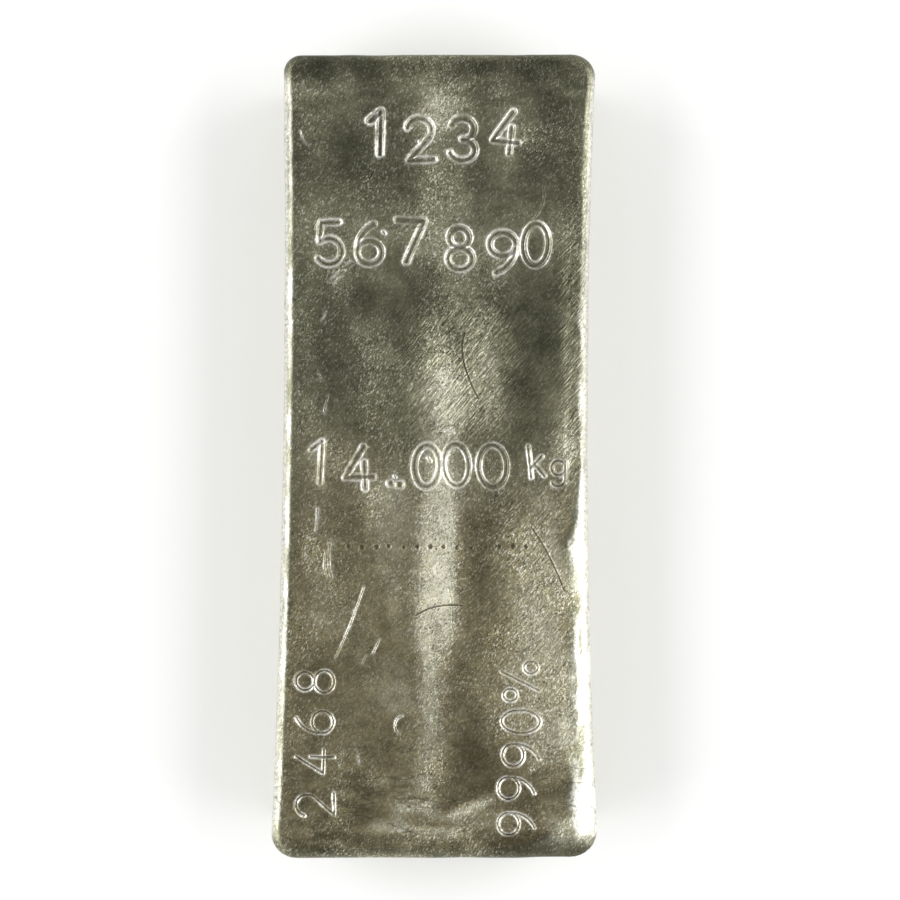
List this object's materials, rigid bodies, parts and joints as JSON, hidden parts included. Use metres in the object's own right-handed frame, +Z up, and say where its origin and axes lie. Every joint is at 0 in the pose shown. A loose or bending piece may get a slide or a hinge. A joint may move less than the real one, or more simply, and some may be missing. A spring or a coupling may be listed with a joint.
{
  "type": "silver bar",
  "caption": "Cast silver bar with drafted sides, rolled rim and a shallow dished top; a bullion ingot that lies on its narrow face.",
  "frame": {"origin": "middle of the bar's box in plan, at the base that it lies on", "axes": "+Z up, +Y along the bar from its wider foot end to its head end, +X to the right when the head is up"},
  "size_m": [0.1134, 0.28, 0.0478],
  "materials": {
    "silver": "satin"
  },
  "bodies": {
    "root": {"silver_bar": "silver"}
  },
  "joints": []
}
